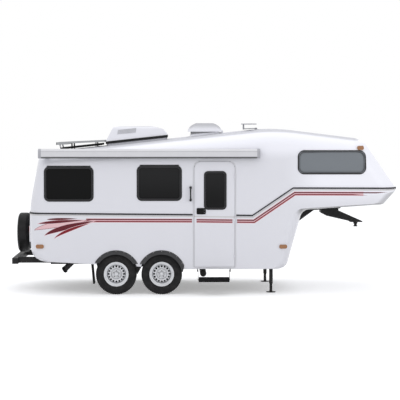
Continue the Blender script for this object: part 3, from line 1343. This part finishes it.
class RearOperator(bpy.types.Operator):
    """Spare cover piping, lamp bezels, and a bracket for a plate, left without one."""

    bl_idname = "trailer.rear_fittings"
    bl_label = "Rear fittings"

    def execute(self, context):
        low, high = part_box("spare_wheel")
        centre, radius = (low + high) / 2, (high.z - low.z) / 2 * 0.985
        piping = bmesh.new()
        for x in (low.x + 0.030, high.x - 0.030):
            ring = circle(radius, 72, x, axis=0, centre=Vector((0, centre.y, centre.z)))
            add_bar(piping, ring, 0.0045, sides=8, closed=True)
        piece("spare_cover_piping", piping, "spare", "root")
        bezels = bmesh.new()
        for low, high in solid_boxes("tail_lamps"):
            ring = rounded_outline(low.y * 1000, high.y * 1000, low.z * 1000, high.z * 1000, 22, -4)
            for x, thick in ((high.x - 0.004, 0.011), (high.x - 0.013, 0.008)):
                add_bar(bezels, [Vector((x, y / 1000, z / 1000)) for y, z in ring], thick,
                        sides=8, closed=True)
        for low, high in solid_boxes("marker_lamps"):
            across = (low.y + high.y) / 2 - ORIGIN.y
            if abs(across) > 1.0:
                face = low.y + 0.004 if across > 0 else high.y - 0.004
                ring = rounded_outline(low.x * 1000, high.x * 1000, low.z * 1000, high.z * 1000, 16, -2)
                add_bar(bezels, [Vector((x / 1000, face, z / 1000)) for x, z in ring], 0.006,
                        sides=8, closed=True)
        piece("lamp_bezels", bezels, "white_plastic", "root")
        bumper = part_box("bumper")[0]
        x, y, z = bumper.x + 0.014, centre.y + 0.40, bumper.z
        bracket = bmesh.new()
        add_block(bracket, (x - 0.004, y - 0.155, z - 0.008), (x - 0.001, y + 0.155, z + 0.070), 0.001)
        add_block(bracket, (x - 0.012, y - 0.020, z + 0.058), (x + 0.002, y + 0.020, z + 0.078), 0.003)
        piece("plate_bracket", bracket, "black_plastic", "root", smooth=False)
        return {"FINISHED"}


class StudioOperator(bpy.types.Operator):
    """Pale floor, soft lamps, plain world and the camera at the photograph's angle."""

    bl_idname = "trailer.studio"
    bl_label = "Studio"

    def execute(self, context):
        scene, reach = context.scene, 60.0
        mesh = bpy.data.meshes.new("studio_floor")
        corners = [(-reach, -reach, 0), (reach, -reach, 0), (reach, reach, 0), (-reach, reach, 0)]
        mesh.from_pydata(corners, [], [(0, 1, 2, 3)])
        mesh.materials.append(pale_floor())
        add_object("studio_floor", mesh)
        for name, place, aim, width, height, power in LAMPS:
            data = bpy.data.lights.new(name, "AREA")
            data.shape = "RECTANGLE"
            data.size, data.size_y, data.energy = width, height, power
            lamp = add_object(name, data)
            lamp.location = place
            lamp.rotation_euler = (Vector(aim) - Vector(place)).to_track_quat("-Z", "Y").to_euler()
        plain_world(scene)
        camera = bpy.data.cameras.new("photo_camera")
        camera.sensor_width, camera.lens, camera.clip_end = 36.0, 117.849, 300
        holder = add_object("photo_camera", camera)
        holder.location = at(11.2, -23114.6, 2853.3)
        yaw, pitch = sizes().camera_yaw, sizes().camera_pitch
        forward = Vector((math.sin(yaw) * math.cos(pitch), math.cos(yaw) * math.cos(pitch), -math.sin(pitch)))
        holder.rotation_mode = "QUATERNION"
        holder.rotation_quaternion = forward.to_track_quat("-Z", "Y")
        scene.camera = holder
        scene.view_settings.view_transform = "Standard"
        return {"FINISHED"}


def pale_floor():
    """White floor that shows as the backdrop does, and still takes the soft shadow."""
    paint = Paint("Studio floor", specular=0.0)
    tone = blend(paint.tree, paint.noise(0.4), (0.90, 0.90, 0.90), (0.93, 0.93, 0.93))
    rays = paint.tree.nodes.new("ShaderNodeLightPath").outputs
    seen = Value(paint.tree, rays["Is Camera Ray"]).most(rays["Is Glossy Ray"])
    for title, value in (("Base Color", tone), ("Roughness", 0.9), ("Emission Color", (1, 1, 1)),
                         ("Emission Strength", seen * 0.34)):
        put(paint.tree, paint.shader, title, value)
    return paint.material


def plain_world(scene):
    """Even pale surroundings; straight views, gloss and glass see plain white."""
    scene.world = bpy.data.worlds.new("studio_world")
    scene.world.use_nodes = True
    tree = scene.world.node_tree
    tree.nodes.clear()
    rays = tree.nodes.new("ShaderNodeLightPath").outputs
    seen = Value(tree, rays["Is Camera Ray"]).most(rays["Is Transmission Ray"]).most(rays["Is Glossy Ray"])
    mixed = tree.nodes.new("ShaderNodeMixShader")
    put(tree, mixed, 0, seen)
    for index, colour, strength in ((1, (0.96, 0.97, 1.0), 0.88), (2, (1, 1, 1), 1.0)):
        light = add_node(tree, "ShaderNodeBackground", Color=colour, Strength=strength)
        tree.links.new(light.outputs[0], mixed.inputs[index])
    add_node(tree, "ShaderNodeOutputWorld", Surface=mixed.outputs[0])


class TrailerPanel(bpy.types.Panel):
    """Lists the trailer's groups and its sizes."""

    bl_label = "Travel trailer"
    bl_idname = "TRAILER_PT_groups"
    bl_space_type = "VIEW_3D"
    bl_region_type = "UI"
    bl_category = "Trailer"

    def draw(self, context):
        column = self.layout.column()
        for operator in GROUPS:
            column.operator(operator.bl_idname)
        for settings in (context.scene.trailer_colours, context.scene.trailer_sizes):
            for key in settings.__annotations__:
                column.prop(settings, key)


GROUPS = [FinishOperator, TyreOperator, WheelOperator, WindowOperator, DoorOperator, AwningOperator,
          RoofOperator, TrimOperator, StepOperator, RearOperator, StudioOperator]


def register():
    for made in (TrailerColours, TrailerSizes, *GROUPS, TrailerPanel):
        bpy.utils.register_class(made)
    bpy.types.Scene.trailer_colours = bpy.props.PointerProperty(type=TrailerColours)
    bpy.types.Scene.trailer_sizes = bpy.props.PointerProperty(type=TrailerSizes)


def unregister():
    del bpy.types.Scene.trailer_sizes
    del bpy.types.Scene.trailer_colours
    for made in reversed((TrailerColours, TrailerSizes, *GROUPS, TrailerPanel)):
        bpy.utils.unregister_class(made)


def main():
    """Runs every group in order and keeps the boxes of the solids and of the dressed trailer."""
    register()
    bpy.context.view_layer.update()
    for name in ("finishes", "tyres", "wheel_fittings", "window_fittings", "door_fittings", "awning_fittings",
                 "roof_fittings", "side_trim", "step_fittings", "rear_fittings", "studio"):
        getattr(bpy.ops.trailer, name)()


if __name__ == "__main__":
    main()
